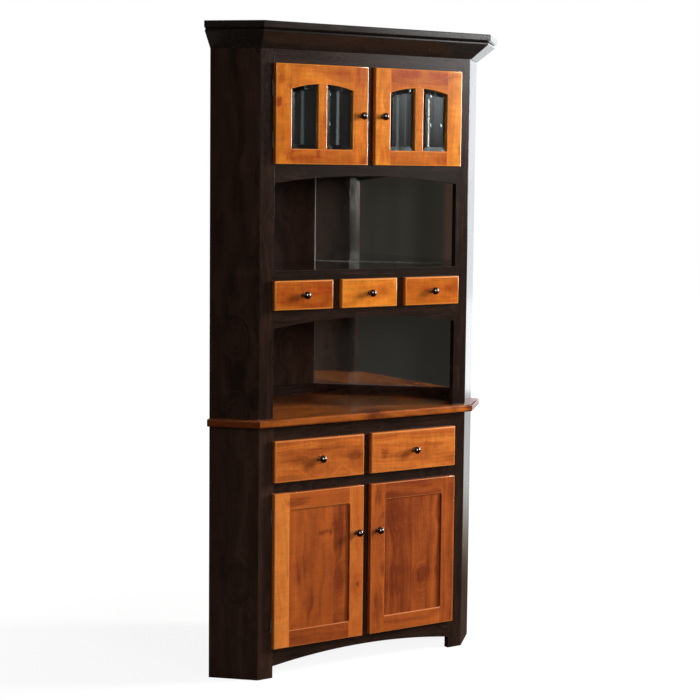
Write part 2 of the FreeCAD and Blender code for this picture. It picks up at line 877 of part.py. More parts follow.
drawer_openings = {
    "base_drawer_left": ((-base_opening_edge, -centre_edge),
                         (base_drawer_level, base_drawer_head)),
    "base_drawer_right": ((centre_edge, base_opening_edge),
                          (base_drawer_level, base_drawer_head)),
    "small_drawer_left": ((-hutch_opening_edge, -small_outer_edge),
                          (small_drawer_level, small_drawer_head)),
    "small_drawer_middle": ((-small_inner_edge, small_inner_edge),
                            (small_drawer_level, small_drawer_head)),
    "small_drawer_right": ((small_outer_edge, hutch_opening_edge),
                           (small_drawer_level, small_drawer_head)),
}


def drawer_guides():
    """Strips on the drawer floors, one along each side of every drawer box."""
    strips = []
    near = at.guide_clearance - at.box_side_clearance
    y_span = (at.frame_thickness, at.frame_thickness + at.guide_length)
    for name, ((left, right), (low, _)) in drawer_openings.items():
        z_span = (low, low + at.guide_height)
        strips.append(block(f"{name}_left_guide",
                            (left - near - at.guide_width, left - near), y_span, z_span))
        strips.append(block(f"{name}_right_guide",
                            (right + near, right + near + at.guide_width), y_span, z_span))
    return group("drawer_guides", strips)


# The whole hutch, from the floor up
nodes = [
    side_board("base_left_side", -1, nothing, base_top_level),
    side_board("base_right_side", 1, nothing, base_top_level),
    back_panels("base_back_panels", nothing, base_top_level),
    inner_board("base_floor", sill_level),
    inner_board("base_shelf", sill_level + at.base_shelf_rise, at.base_shelf_setback),
    inner_board("base_drawer_floor", base_drawer_level),
    counter(),
    side_board("hutch_left_side", -1, counter_level, cap_level),
    side_board("hutch_right_side", 1, counter_level, cap_level),
    back_panels("hutch_back_panels", counter_level, cap_level),
    inner_board("hutch_drawer_floor", small_drawer_level),
    inner_board("hutch_deck", deck_level),
    inner_board("hutch_cabinet_floor", cabinet_level),
    inner_board("hutch_top_board", cap_level),
    display_mirrors(),
    mirror_cleats(),
    crown_mouldings(),
    crown_caps(),
    hinge_frame_leaves(),
    drawer_guides(),
]
nodes += base_frame()
nodes += hutch_frame()
nodes += glass_door("upper_left_door", -1)
nodes += glass_door("upper_right_door", 1)
nodes += panel_door("base_left_door", -1)
nodes += panel_door("base_right_door", 1)
for drawer_name, (opening_across, opening_heights) in drawer_openings.items():
    nodes += drawer(drawer_name, opening_across, opening_heights)

doc.recompute()

# Check every object before anything is written
for thing in doc.Objects:
    if "Invalid" in thing.State or "Error" in thing.State:
        raise RuntimeError(f"{thing.Label} failed: {thing.State}")
for node in nodes:
    if node.Shape.isNull() or not node.Shape.isValid() or not node.Shape.Solids:
        raise RuntimeError(f"{node.Label} has no valid solid")

os.makedirs("parts", exist_ok=True)
for node in nodes:
    node.Shape.exportStep(f"parts/{node.Label}.step")
print(len(nodes), "nodes written")
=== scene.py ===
"""A corner hutch of dark stained wood with honey maple doors, drawers and counter."""

import math

import bpy
import numpy as np
from mathutils import Matrix, Vector


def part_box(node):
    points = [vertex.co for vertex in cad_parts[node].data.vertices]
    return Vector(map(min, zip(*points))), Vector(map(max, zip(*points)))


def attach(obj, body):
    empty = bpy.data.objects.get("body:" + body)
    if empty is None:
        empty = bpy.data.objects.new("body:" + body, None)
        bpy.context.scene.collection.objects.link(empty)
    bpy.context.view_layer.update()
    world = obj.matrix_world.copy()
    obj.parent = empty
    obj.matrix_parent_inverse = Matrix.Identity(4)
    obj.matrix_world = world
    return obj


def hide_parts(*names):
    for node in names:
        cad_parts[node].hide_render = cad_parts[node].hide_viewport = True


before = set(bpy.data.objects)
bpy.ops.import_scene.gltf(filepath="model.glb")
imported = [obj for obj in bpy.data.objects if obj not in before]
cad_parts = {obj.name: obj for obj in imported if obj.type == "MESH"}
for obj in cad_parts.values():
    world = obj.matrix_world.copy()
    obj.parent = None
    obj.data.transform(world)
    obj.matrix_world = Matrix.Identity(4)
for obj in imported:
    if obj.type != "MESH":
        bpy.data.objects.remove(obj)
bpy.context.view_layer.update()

# Camera
# The picture was taken from the left front at eye height with a long lens.
# Its place, turn and lens come from fitting the cabinet's corners to the picture.
eye = (-3.2512, -4.9977, 1.6229)
camera_yaw, camera_pitch, camera_roll = 0.5885, -0.09974, 0.010468
camera = bpy.data.objects.new("camera", bpy.data.cameras.new("camera"))
bpy.context.collection.objects.link(camera)
camera.data.sensor_width = 36.0
camera.data.lens = 91.22
camera.matrix_world = (
    Matrix.Translation(eye)
    @ Matrix.Rotation(-camera_yaw, 4, "Z")
    @ Matrix.Rotation(math.pi / 2 + camera_pitch, 4, "X")
    @ Matrix.Rotation(camera_roll, 4, "Z")
)
bpy.context.scene.camera = camera
bpy.context.scene.view_settings.view_transform = "Standard"


# Studio
# A plain pale floor and a white ground behind the cabinet. The main softbox stands far to
# the right, a wide one in front, a panel behind on the right and a small lamp on the left.

def feed(node, inputs):
    """Give each input its value, a colour without alpha, or link it to another node's output."""
    for name, value in inputs.items():
        socket = node.inputs[name]
        if isinstance(value, bpy.types.NodeSocket):
            node.id_data.links.new(value, socket)
        else:
            socket.default_value = (*value, 1) if socket.type == "RGBA" else value


def add(tree, kind, inputs=None, **settings):
    """A shader node with its settings and its inputs."""
    node = tree.nodes.new(kind)
    for name, value in settings.items():
        setattr(node, name, value)
    feed(node, inputs or {})
    return node


def number(tree, operation, first, second, third=0.0):
    """The result of one sum in a shader."""
    values = {0: first, 1: second, 2: third}
    return add(tree, "ShaderNodeMath", values, operation=operation).outputs[0]


def plus(tree, start, value, amount):
    """A start plus a value times an amount."""
    return number(tree, "MULTIPLY_ADD", value, amount, start)


def product(tree, first, *others):
    """All the numbers multiplied."""
    for other in others:
        first = number(tree, "MULTIPLY", first, other)
    return first


def vector(tree, operation, *values):
    """The result of one sum of vectors in a shader."""
    values = dict(enumerate(values))
    return add(tree, "ShaderNodeVectorMath", values, operation=operation).outputs[0]


def length(tree, value):
    """How long a vector is."""
    return add(tree, "ShaderNodeVectorMath", {0: value}, operation="LENGTH").outputs["Value"]


def blend(tree, share, first, second):
    """A colour between two colours."""
    values = {"Factor": share, 6: first, 7: second}
    return add(tree, "ShaderNodeMix", values, data_type="RGBA").outputs[2]


def rising(tree, value, low, high):
    """A smooth step from 0 at low to 1 at high."""
    values = {"Value": value, "From Min": low, "From Max": high}
    return add(tree, "ShaderNodeMapRange", values, interpolation_type="SMOOTHSTEP").outputs[0]


def hump(tree, value, start, full, fall, end):
    """A smooth step up from start to full, times a smooth step down from fall to end."""
    return product(tree, rising(tree, value, start, full), rising(tree, value, end, fall))


def peak(tree, value, middle, half):
    """A hump that is 1 at its middle only and 0 from half its width on."""
    return hump(tree, value, middle - half, middle, middle, middle + half)


def own_place(tree):
    """Where a point of the object lies, in metres."""
    return add(tree, "ShaderNodeTexCoord").outputs["Object"]


def softbox(name, place, target, size, watts, colour=(1, 1, 1), glossy=True):
    """A rectangular lamp that faces a target; without glossy no surface mirrors it."""
    lamp = bpy.data.lights.new(name, "AREA")
    lamp.shape = "RECTANGLE"
    lamp.size, lamp.size_y = size
    lamp.energy = watts
    lamp.color = colour
    stand = bpy.data.objects.new(name, lamp)
    turn = (Vector(place) - Vector(target)).to_track_quat("Z", "Y").to_matrix().to_4x4()
    stand.matrix_world = Matrix.Translation(place) @ turn
    bpy.context.collection.objects.link(stand)
    stand.visible_camera = False
    stand.visible_glossy = glossy


softbox("main_softbox", (3.65, -2.0, 2.2), (0, -0.2, 1.2), (0.9, 1.8), 330, (1.0, 0.97, 0.93))
softbox("front_softbox", (0.1, -5.4, 2.3), (0, 0, 1.0), (1.6, 1.2), 105, (1.0, 0.98, 0.96), False)
softbox("rear_panel", (4.6, 3.2, 1.6), (0.4, 0, 1.2), (2.4, 2.8), 23, (0.94, 0.98, 1.0))
softbox("left_lamp", (-4.6, -3.3, 2.9), (0, 0, 1.2), (0.5, 0.5), 9, glossy=False)

world = bpy.data.worlds.new("studio")
bpy.context.scene.world = world
world.use_nodes = True
world.cycles.sampling_method = "NONE"
tree = world.node_tree
tree.nodes.clear()
seen = add(tree, "ShaderNodeLightPath").outputs
way = add(tree, "ShaderNodeTexCoord").outputs["Generated"]
way = add(tree, "ShaderNodeSeparateXYZ", {"Vector": way}).outputs
mirrored = number(tree, "MAXIMUM", seen["Is Glossy Ray"], seen["Is Transmission Ray"])
white = number(tree, "MAXIMUM", rising(tree, way["Y"], 0.02, 0.3),
               rising(tree, way["Z"], 0.45, 0.75))
white = number(tree, "MAXIMUM", product(tree, mirrored, white), seen["Is Camera Ray"])

# Panes and mirrors show the room in front of the cabinet: a window behind folds, its bright
# gap, three small lights, a dim wall and upright stripes, each added with its own light.
gap_light, dot_light, wall_light, flash_light, all_light = 1.5, 1.9, 0.017, 4.5, 7.6
dots = ((0.7327, 0.0534), (0.7327, 0.0332), (0.7417, 0.0332))
stripes = ((0.6277, 0.0020, 0.10), (0.6556, 0.0017, 0.24), (0.7045, 0.0018, 0.17),
           (0.7111, 0.0010, 0.09), (0.7235, 0.0018, 0.05), (0.7440, 0.0012, 0.04))
forward = number(tree, "MAXIMUM", product(tree, way["Y"], -1), 0.02)
across = number(tree, "DIVIDE", way["X"], forward)
above = number(tree, "DIVIDE", way["Z"], forward)
folds = add(tree, "ShaderNodeTexNoise", {"W": across, "Scale": 170.0, "Detail": 2.0},
            noise_dimensions="1D")
window = product(tree, hump(tree, across, 0.65, 0.81, 0.80, 0.92),
                 hump(tree, above, 0.0, 0.12, 0.13, 0.20),
                 plus(tree, 0.1, folds.outputs["Fac"], 1.8))
gap = product(tree, hump(tree, across, 0.7302, 0.7306, 0.7312, 0.7316),
              rising(tree, above, 0.052, 0.050))
window = plus(tree, window, gap, gap_light)
for middle, height in dots:
    dot = product(tree, peak(tree, across, middle, 0.001), peak(tree, above, height, 0.0018))
    window = plus(tree, window, dot, dot_light)
wall = product(tree, rising(tree, across, 0.60, 0.61), rising(tree, above, -0.03, -0.02))
window = plus(tree, window, wall, wall_light)
for middle, half, light in stripes:
    window = plus(tree, window, peak(tree, across, middle, half), light)

# The left side of the room has a wide soft patch of light, dim hangings and a brown post.
aside = number(tree, "DIVIDE", way["Y"], number(tree, "MINIMUM", way["X"], -0.02))
flash = product(tree, hump(tree, aside, 1.1, 1.5, 2.4, 3.0),
                hump(tree, way["Z"], 0.10, 0.22, 0.50, 0.62))
window = plus(tree, window, flash, flash_light)
window = product(tree, window, mirrored, all_light)
hangings = add(tree, "ShaderNodeTexNoise", {"W": aside, "Scale": 60.0, "Detail": 3.0},
               noise_dimensions="1D")
room = blend(tree, hangings.outputs["Fac"], (0.017, 0.0155, 0.0115), (0.038, 0.0335, 0.0265))
post = hump(tree, aside, 0.7430, 0.7450, 0.7510, 0.7530)
room = blend(tree, post, room, (0.062, 0.038, 0.026))

dim = blend(tree, mirrored, (0.115, 0.115, 0.12), room)
bright = blend(tree, mirrored, (1, 1, 1), (0.47, 0.51, 0.54))
backdrop = add(tree, "ShaderNodeBackground", {"Color": blend(tree, white, dim, bright)})
hue = blend(tree, gap, (0.92, 0.98, 1.0), (1.0, 0.88, 0.74))
panel = add(tree, "ShaderNodeBackground", {"Color": hue, "Strength": window})
both = add(tree, "ShaderNodeAddShader", {0: backdrop.outputs[0], 1: panel.outputs[0]})
add(tree, "ShaderNodeOutputWorld", {"Surface": both.outputs[0]})

# The floor takes the shadow and is white to the camera. Glossy surfaces see it pale
# behind the cabinet and dark in front of it.
reach = 14.0
floor_mesh = bpy.data.meshes.new("floor")
corners = [(-reach, -reach, 0), (reach, -reach, 0), (reach, reach, 0), (-reach, reach, 0)]
floor_mesh.from_pydata(corners, [], [(0, 1, 2, 3)])
floor = bpy.data.objects.new("floor", floor_mesh)
bpy.context.collection.objects.link(floor)
floor_paint = bpy.data.materials.new("pale_floor")
floor_paint.use_nodes = True
tree = floor_paint.node_tree
tree.nodes.clear()
seen = add(tree, "ShaderNodeLightPath").outputs
place = own_place(tree)
grain = add(tree, "ShaderNodeTexNoise", {"Vector": place, "Scale": 3.0, "Detail": 4.0})
tint = blend(tree, grain.outputs["Fac"], (0.13, 0.13, 0.13), (0.15, 0.15, 0.15))
tint = blend(tree, seen["Is Diffuse Ray"], tint, (0.30, 0.30, 0.29))
tint = blend(tree, seen["Is Glossy Ray"], tint, (0.05, 0.042, 0.035))
paint = add(tree, "ShaderNodeBsdfDiffuse", {"Color": tint})
far = length(tree, place)
level = plus(tree, 0.90, rising(tree, far, 0.6, 2.4), 0.10)
level = product(tree, level, seen["Is Camera Ray"])
depth = add(tree, "ShaderNodeSeparateXYZ", {"Vector": place}).outputs["Y"]
behind = rising(tree, depth, 0.3, 2.0)
hue = blend(tree, behind, (0.96, 0.94, 0.78), (0.92, 0.97, 0.99))
unlit = number(tree, "MAXIMUM", product(tree, behind, 0.95),
               product(tree, rising(tree, far, 3, 8), 0.016))
unlit = product(tree, unlit, seen["Is Glossy Ray"])
glow = add(tree, "ShaderNodeEmission", {
    "Color": blend(tree, seen["Is Glossy Ray"], (1, 1, 1), hue),
    "Strength": number(tree, "ADD", level, unlit)})
both = add(tree, "ShaderNodeAddShader", {0: paint.outputs[0], 1: glow.outputs[0]})
add(tree, "ShaderNodeOutputMaterial", {"Surface": both.outputs[0]})
floor_mesh.materials.append(floor_paint)


# Base: returns
# The two narrow sides stand square to the walls and are mitred to the face frame.
# They are solid boards, stained almost black, with a softly rounded front arris.

root2 = math.sqrt(2)
board = 0.019
face_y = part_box("base_rails")[0].y
half_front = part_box("base_stiles")[1].x
return_width = 0.162
corner_depth = half_front + return_width * root2
half_clip = 0.1205
front_arris = 0.005
front_normal, right_normal = (0, -1), (1 / root2, -1 / root2)


def front_corner(front, side):
    """Where the line at depth front meets the return's line, side inside its outer face."""
    return (half_front - side * root2 + front, face_y + front)


def wall_end(side, back):
    """The return's end at the wall, side inside its outer face and back before the wall."""
    return ((half_front + corner_depth) / 2 - (side + back) / root2,
            face_y + (corner_depth - half_front) / 2 + (side - back) / root2)


def clip_corner(back):
    """Where the wall meets the clipped corner, back before both."""
    return (half_clip - (root2 - 1) * back, face_y + corner_depth - half_clip - back)


def arris(corner, first, last, radius, share=(0, 1), steps=5):
    """Points on the arc between two side normals, about a centre set in along their mitre."""
    first, last = np.array(first, float), np.array(last, float)
    cosine = first @ last
    centre = np.array(corner) - radius * (first + last) / (1 + cosine)
    angle = math.acos(cosine)
    part = np.linspace(*share, steps)[:, None]
    normals = np.sin((1 - part) * angle) * first + np.sin(part * angle) * last
    return centre + radius * (normals / math.sin(angle))


def other_hand(outline):
    """The same outline on the left, still counter-clockwise."""
    return (np.asarray(outline) * (-1, 1))[::-1]


def side_normals(outline):
    """At each corner, the outward normals of the side before it and the side after it."""
    side = np.roll(outline, -1, 0) - outline
    side = side / np.linalg.norm(side, axis=1, keepdims=True)
    after = np.stack([side[:, 1], -side[:, 0]], 1)
    return np.roll(after, 1, 0), after


def inward_moves(outline, weights):
    """How each corner moves as its two sides move in: the point weight inside both side lines."""
    weights = np.asarray(weights, float)
    if weights.ndim < 2:
        weights = np.broadcast_to(weights, len(outline))
        weights = np.stack([np.roll(weights, 1), weights], 1)
    lines = np.stack(side_normals(outline), 1)
    return -(np.linalg.pinv(lines, rcond=1e-3) @ weights[:, :, None])[:, :, 0]


def skin(count, around):
    """Quads between count closed rings of as many points around, and the two end faces."""
    index = np.arange(count * around).reshape(count, around)
    ahead = np.roll(index, -1, 1)
    quads = np.stack([index[:-1], ahead[:-1], ahead[1:], index[1:]], 2).reshape(-1, 4)
    return quads.tolist() + [index[0, ::-1].tolist(), index[-1].tolist()]


def carried(outline, rings, weights=1.0, plane="plan"):
    """An outline carried along its normal: each ring at its own station, moved in by its inset.

    A weight scales the inset of a side; a corner may have one for each of its two sides.
    """
    outline = np.asarray(outline, float)
    rings = np.asarray(rings, float)
    x, y = outline.T
    if (x * np.roll(y, -1) - y * np.roll(x, -1)).sum() < 0:
        outline = outline[::-1]
        weights = np.asarray(weights, float)
        if weights.ndim == 2:
            weights = weights[::-1, ::-1]
        elif weights.ndim == 1:
            weights = np.roll(weights[::-1], -1)
    across = outline[None] + rings[:, 1, None, None] * inward_moves(outline, weights)[None]
    along = np.broadcast_to(rings[:, 0, None, None], across.shape[:2] + (1,))
    points = np.concatenate([across, along], 2).reshape(-1, 3)
    if plane == "face":
        points = points[:, [0, 2, 1]]
    edges = np.repeat(np.diff(rings[:, 1]) != 0, len(outline))
    return points, skin(len(rings), len(outline)), np.append(edges, [False, False])


def marked(shape, sides, mark):
    """The same carried shape with the faces over some sides of its outline given a mark.

    Eased edges have the mark 1 from the start, and the finishes say what a mark does.
    """
    points, faces, marks = shape
    marks = marks.astype(float)
    marks[:-2].reshape(-1, len(faces[-1]))[:, sides] = mark
    return points, faces, marks


def eased(start, end, radius, steps=4, last=True):
    """Stations and insets of a board's thickness whose faces end in quarter rounds."""
    turn = np.linspace(0, math.pi / 2, steps + 1)
    depth, inset = radius * (1 - np.sin(turn)), radius * (1 - np.cos(turn))
    toward = 1 if end > start else -1
    rings = np.stack([start + toward * depth[::-1], inset[::-1]], 1)
    back = np.stack([end - toward * depth, inset], 1) if last else np.array([[end, 0.0]])
    return np.concatenate([rings, back])


def wood(shape, grain="z", tone=0.5, log=0):
    """A shape with its grain: the axis that the grain follows, a tone and a place in the log."""
    points = shape[0]
    order = {"z": [2, 0, 1], "x": [0, 2, 1], "y": [1, 0, 2]}[grain]
    place = np.array([1.37, 0.61, 0.83]) * log
    return shape + (points[:, order] + place, np.full(len(points), tone))


def make_piece(name, shapes, finish, stands_for, body="carcass", sharp=35):
    """One object of all its shapes, faces outwards, with their grain, tone and edges kept.

    A shape is turned inside out where the sum of its faces' signed volumes is negative.
    """
    points, faces, marks, grains, tones = [], [], [], [], []
    start = 0
    for shape_points, shape_faces, edge, grain, tone in shapes:
        corners = np.array([shape_points[[f[0], f[i], f[i + 1]]] for f in shape_faces
                            for i in range(1, len(f) - 1)])
        volume = np.einsum("ij,ij->i", corners[:, 0], np.cross(corners[:, 1], corners[:, 2])).sum()
        turned = [f[::-1] for f in shape_faces] if volume < 0 else shape_faces
        faces += [[i + start for i in f] for f in turned]
        points.append(shape_points)
        marks.append(edge)
        grains.append(grain)
        tones.append(tone)
        start += len(shape_points)
    mesh = bpy.data.meshes.new(name)
    mesh.from_pydata(np.concatenate(points).tolist(), [], faces)
    for label, kind, domain, values in (("grain", "FLOAT_VECTOR", "POINT", grains),
                                        ("tone", "FLOAT", "POINT", tones),
                                        ("edge", "FLOAT", "FACE", marks)):
        layer = mesh.attributes.new(label, kind, domain)
        layer.data.foreach_set("vector" if kind == "FLOAT_VECTOR" else "value",
                               np.concatenate(values).astype(np.float32).ravel())
    mesh.polygons.foreach_set("use_smooth", np.ones(len(faces), bool))
    mesh.set_sharp_from_angle(angle=math.radians(sharp))
    mesh.materials.append(finish)
    piece = bpy.data.objects.new(name, mesh)
    bpy.context.collection.objects.link(piece)
    shading = piece.modifiers.new("flat_faces", "WEIGHTED_NORMAL")
    shading.keep_sharp = True
    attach(piece, body)
    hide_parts(*stands_for)


def wood_figure():
    """A group that turns grain coordinates in metres into the marks of sawn wood.

    Bands are noise along the distance from a bent pith. The grain swirls round the few
    cells that hold a knot. Streaks, blotches, curl and pores are noise stretched to suit.
    """
    group = bpy.data.node_groups.new("wood_figure", "ShaderNodeTree")
    group.interface.new_socket("Grain", in_out="INPUT", socket_type="NodeSocketVector")
    for name in ("Bands", "Streaks", "Blotch", "Curl", "Pores", "Knots"):
        group.interface.new_socket(name, in_out="OUTPUT", socket_type="NodeSocketFloat")
    enter = add(group, "NodeGroupInput").outputs["Grain"]

    def noise(place, stretch, detail, rough=0.55):
        """Noise over a place scaled by its own factor along each axis."""
        return add(group, "ShaderNodeTexNoise", {
            "Vector": vector(group, "MULTIPLY", place, stretch), "Scale": 1.0,
            "Detail": detail, "Roughness": rough}).outputs

    wide = vector(group, "MULTIPLY", enter, (6.0, 10.0, 10.0))
    cells = add(group, "ShaderNodeTexVoronoi", {"Vector": wide, "Scale": 1.0}).outputs
    knotty = rising(group, cells["Color"], 0.42, 0.55)
    swirl = product(group, rising(group, cells["Distance"], 0.55, 0.0), knotty)
    away = vector(group, "SUBTRACT", wide, cells["Position"])
    push = add(group, "ShaderNodeVectorMath", {0: away, "Scale": swirl}, operation="SCALE")
    swing = noise(enter, (3.0, 7.0, 7.0), 2.0)["Color"]
    bent = vector(group, "ADD", enter, vector(group, "MULTIPLY", swing, (0.0, 0.05, 0.05)))
    bent = vector(group, "MULTIPLY_ADD", push.outputs[0], (0.0, -0.06, -0.06), bent)
    pith = vector(group, "ADD", vector(group, "MULTIPLY", bent, (0, 1, 1)), (0.0, 0.03, -0.09))
    rings = plus(group, product(group, swirl, 4.0), length(group, pith), 75.0)
    bands = add(group, "ShaderNodeTexNoise",
                {"W": rings, "Scale": 1.0, "Detail": 3.0, "Roughness": 0.6},
                noise_dimensions="1D").outputs
    core = product(group, rising(group, cells["Distance"], 0.055, 0.015), knotty)
    pores = noise(bent, (70.0, 900.0, 900.0), 1.0)["Fac"]
    few = add(group, "ShaderNodeMapRange", {"Value": pores, "From Min": 0.62, "From Max": 0.74})
    add(group, "NodeGroupOutput", {
        "Bands": bands["Fac"],
        "Streaks": noise(bent, (5.0, 120.0, 120.0), 4.0, 0.7)["Fac"],
        "Blotch": noise(enter, (8.0, 20.0, 20.0), 5.0, 0.62)["Fac"],
        "Curl": noise(bent, (105.0, 18.0, 18.0), 3.0)["Fac"],
        "Pores": few.outputs[0],
        "Knots": plus(group, core, product(group, swirl, swirl), 0.4)})
    return group


figure = wood_figure()


def grain_of(tree, node_grain):
    """Where a finish reads its grain: the piece's own attribute, or the object turned to suit."""
    if node_grain is None:
        return add(tree, "ShaderNodeAttribute", attribute_name="grain").outputs["Vector"]
    if node_grain == "x":
        return own_place(tree)
    turn = (0, math.pi / 2, 0) if node_grain == "z" else (0, 0, math.pi / 2)
    return add(tree, "ShaderNodeMapping", {"Vector": own_place(tree), "Rotation": turn}).outputs[0]


def new_finish(name):
    """A new material, its nodes and its shader."""
    material = bpy.data.materials.new(name)
    material.use_nodes = True
    return material, material.node_tree, material.node_tree.nodes["Principled BSDF"]


def own(tree, mark):
    """The tone or the edge mark that a piece's mesh carries."""
    return add(tree, "ShaderNodeAttribute", attribute_name=mark).outputs["Fac"]


def summed(tree, out, start, amounts):
    """A start value plus each named mark of the wood times its amount."""
    for mark, amount in amounts.items():
        start = plus(tree, start, out[mark], amount)
    return start


def stained(tree, share, shades, ends, fibre):
    """Three shades of stain over the share between its two ends, streaked by a fibre factor."""
    stain = add(tree, "ShaderNodeValToRGB", {"Fac": share})
    ramp = stain.color_ramp.elements
    ramp[0].position, ramp[1].position = ends
    ramp[0].color, ramp[1].color = (*shades[0], 1), (*shades[2], 1)
    ramp.new(0.5).color = (*shades[1], 1)
    return vector(tree, "MULTIPLY", stain.outputs["Color"], fibre)


def sawn(tree, shader, out, gloss, uneven, specular, pores, relief, depth):
    """Gloss that the streaks make uneven, and a relief of streaks with sunken pores."""
    height = summed(tree, out, out["Streaks"], {"Pores": -pores})
    bump = add(tree, "ShaderNodeBump", {"Height": height, "Strength": relief, "Distance": depth})
    feed(shader, {
        "Roughness": summed(tree, out, gloss - uneven / 2, {"Streaks": uneven}),
        "Specular IOR Level": specular, "Normal": bump.outputs[0]})


red_brown = ((0.0110, 0.0064, 0.0048), (0.0280, 0.0136, 0.0094), (0.0480, 0.0245, 0.0155))
rubbed_edge_and_sheen = (0.050, 0.026, 0.017)


def espresso(name, node_grain=None, gloss=0.12, tone=0.5, shades=red_brown):
    """Nearly black stain over maple: red-brown bands show through; edges are rubbed and carry a
    painted sheen.
    """
    material, tree, shader = new_finish(name)
    marks = add(tree, "ShaderNodeGroup", {"Grain": grain_of(tree, node_grain)}, node_tree=figure)
    out = marks.outputs
    if node_grain is None:
        tone = own(tree, "tone")
    warmth = summed(tree, out, number(tree, "ADD", tone, -1.05), {"Bands": 0.9, "Blotch": 0.9})
    fibre = summed(tree, out, 0.65, {"Streaks": 0.7})
    colour = stained(tree, warmth, shades, (0.05, 0.95), fibre)
    # Marked edges blend towards a paler brown. This is partly a rubbed finish and partly a painted
    # sheen along the arrises.
    if node_grain is None:
        paler_edge = product(tree, own(tree, "edge"), summed(tree, out, -0.35, {"Blotch": 1.6}))
        colour = blend(tree, paler_edge, colour, rubbed_edge_and_sheen)
    feed(shader, {"Base Color": colour})
    sawn(tree, shader, out, gloss, uneven=0.10, specular=0.4, pores=0.6, relief=0.10,
         depth=0.0006)
    return material


dark_stain = espresso("espresso_stain")


def make_dark(name, nodes, shapes):
    """A stained piece of the carcass."""
    make_piece(name, shapes, dark_stain, nodes)


def upright_pair(outline, node, first, last):
    """Right and left boards of one plan, with the front arris over some of its sides marked."""
    low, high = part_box(node)
    rings = [(low.z, 0), (high.z, 0)]
    right = marked(carried(outline, rings), slice(first, last), 1)
    # The left arris gets a fifth of the mark. Its paler edge is a painted sheen, which is strongest
    # on the right, where the light falls.
    left = marked(carried(other_hand(outline), rings), slice(-last - 1, -first - 1), 0.2)
    return right, left


def make_returns(name, nodes, log, tone):
    """Both returns: half of the front arris, the outer face and the mitre behind the frame."""
    corner = arris(front_corner(0, 0), front_normal, right_normal, front_arris, (0.5, 1))
    ends = [wall_end(0, 0), wall_end(board, 0), front_corner(board, board)]
    right, left = upright_pair(np.concatenate([corner, ends]), nodes[0], 0, 4)
    make_dark(name, nodes, [wood(right, "z", tone, log), wood(left, "z", tone, log + 1)])


make_returns("base_returns", ["base_left_side", "base_right_side"], 1, 0.68)


# Base: face frame
# Stiles that run down as feet, two straight rails, an arched bottom rail and mullions.
# They are glued flush, so only the edges round the openings and the arch are eased.

stile_edge_ease, frame_ease = 0.0004, 0.0012
half_mullion = 0.0205
# Which sides of a straight member are eased: bottom, right, top and left.
below, level_sides, upright_sides = (1, 0, 0, 0), (1, 0, 1, 0), (0, 1, 0, 1)
frame_rings = eased(face_y, face_y + board, frame_ease, last=False)


def make_stiles(name, node, width, log, tones):
    """Both stiles: an eased opening edge, the front face, half of the front arris, the mitre."""
    edge = half_front - width
    opening = arris((edge, face_y), (-1, 0), front_normal, stile_edge_ease)
    corner = arris(front_corner(0, 0), front_normal, right_normal, front_arris, (0, 0.5))
    back = [front_corner(board, board), (edge, face_y + board)]
    right, left = upright_pair(np.concatenate([opening, corner, back]), node, 5, 9)
    make_dark(name, [node], [wood(left, "z", tones[0], log),
                             wood(right, "z", tones[1], log + 1)])
    return edge


def rectangle(left, right, low, high):
    """A counter-clockwise outline: its sides are the bottom, right, top and left."""
    return np.array([(left, low), (right, low), (right, high), (left, high)])


def member(outline, rings, weights, grain, tone, log):
    """A board whose outline lies in the front's plane; sides of weight 1 are eased."""
    return wood(carried(outline, rings, weights, "face"), grain, tone, log)


def frame_member(left, right, low, high, weights, grain, tone, log):
    """A straight member of a face frame."""
    return member(rectangle(left, right, low, high), frame_rings, weights, grain, tone, log)


def arch(left, right, spring, rise, x):
    """The height at x of the circle that springs at left and right and rises between them."""
    half = (right - left) / 2
    radius = (half ** 2 + rise ** 2) / (2 * rise)
    return spring + rise - radius + np.sqrt(radius ** 2 - (x - (left + right) / 2) ** 2)


def arched_rail(left, right, spring, rise, top, steps, rings, tone, log):
    """A rail whose eased lower edge is an arch."""
    x = np.linspace(left, right, steps + 1)
    lower = np.stack([x, arch(left, right, spring, rise, x)], 1)
    outline = np.concatenate([lower, [(right, top), (left, top)]])
    weights = np.concatenate([np.ones(steps), [0, 1, 0]])
    return member(outline, rings, weights, "x", tone, log)


def make_arched_rail(name, node, edge, spring, rise, top, tone, log):
    """An arched rail of the face frame between the stiles' edges."""
    rail = arched_rail(-edge, edge, spring, rise, top, 48, frame_rings, tone, log)
    make_dark(name, [node], [rail])


base_edge = make_stiles("base_frame_stiles", "base_stiles", width=0.056, log=3,
                        tones=(0.70, 0.36))
sill, door_head, drawer_low, drawer_head, base_top = 0.103, 0.5956, 0.6425, 0.7654, 0.818
toe_spring, toe_rise = 0.038, 0.026
make_dark("base_frame_rails", ["base_rails"], [
    frame_member(-base_edge, base_edge, drawer_head, base_top, below, "x", 0.4, 5),
    frame_member(-base_edge, base_edge, door_head, drawer_low, level_sides, "x", 0.36, 6),
])
make_arched_rail("base_frame_arched_rail", "base_arched_rail", base_edge, toe_spring, toe_rise,
                 sill, 0.42, 7)
make_dark("base_frame_mullions", ["base_mullions"], [
    frame_member(-half_mullion, half_mullion, sill, door_head, upright_sides, "z", 0.5, 8),
    frame_member(-half_mullion, half_mullion, drawer_low, drawer_head, upright_sides, "z", 0.35, 9),
])


# Carcass boards
# Thin backs, floors, decks and shelf close the carcass behind the frames. They stay
# as the frame gives them and take the same stain, glossier on the level boards. The upright
# backs are painted lighter, a painted light for the light that reaches into the displays.

# The raised tone of the upright boards is painted light that stands in for light falling into the
# displays.
upright_stain = espresso("espresso_upright_boards", "z", 0.20, 0.75)
level_stain = espresso("espresso_level_boards", "x", 0.07)


def finish_node(node, material):
    """Give a board of the frame its finish."""
    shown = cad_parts[node]
    shown.data.materials.clear()
    shown.data.materials.append(material)


